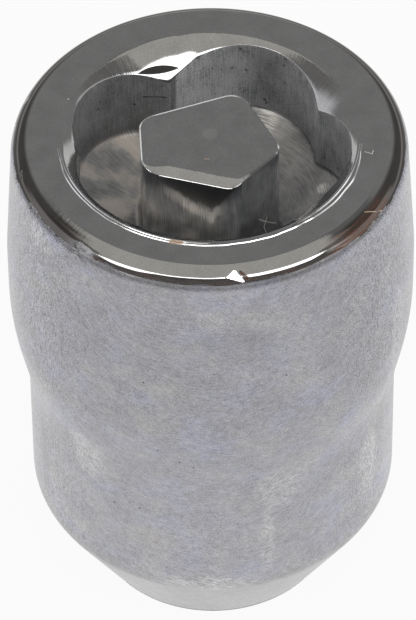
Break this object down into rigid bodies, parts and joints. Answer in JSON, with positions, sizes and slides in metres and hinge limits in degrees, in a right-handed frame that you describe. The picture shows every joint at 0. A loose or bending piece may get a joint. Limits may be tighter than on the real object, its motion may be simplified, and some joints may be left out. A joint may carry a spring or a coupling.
{
  "type": "locking wheel nut",
  "caption": "Cylindrical locking wheel nut with a tapered seat and blind tapped hole below, and a lobed key pocket around an irregular post in the rim.",
  "frame": {"origin": "centre of the small end of the tapered seat, on the stud's axis", "axes": "+Z along the stud's axis towards the rim and key pocket; the pocket's five code directions are measured from +X"},
  "size_m": [0.024, 0.024, 0.034],
  "materials": {
    "plated_steel": "chrome plate on steel, glossy and dark on the rim and in the key pocket, wiped satin on the sides"
  },
  "bodies": {
    "root": {"locking_nut": "plated_steel"}
  },
  "joints": []
}
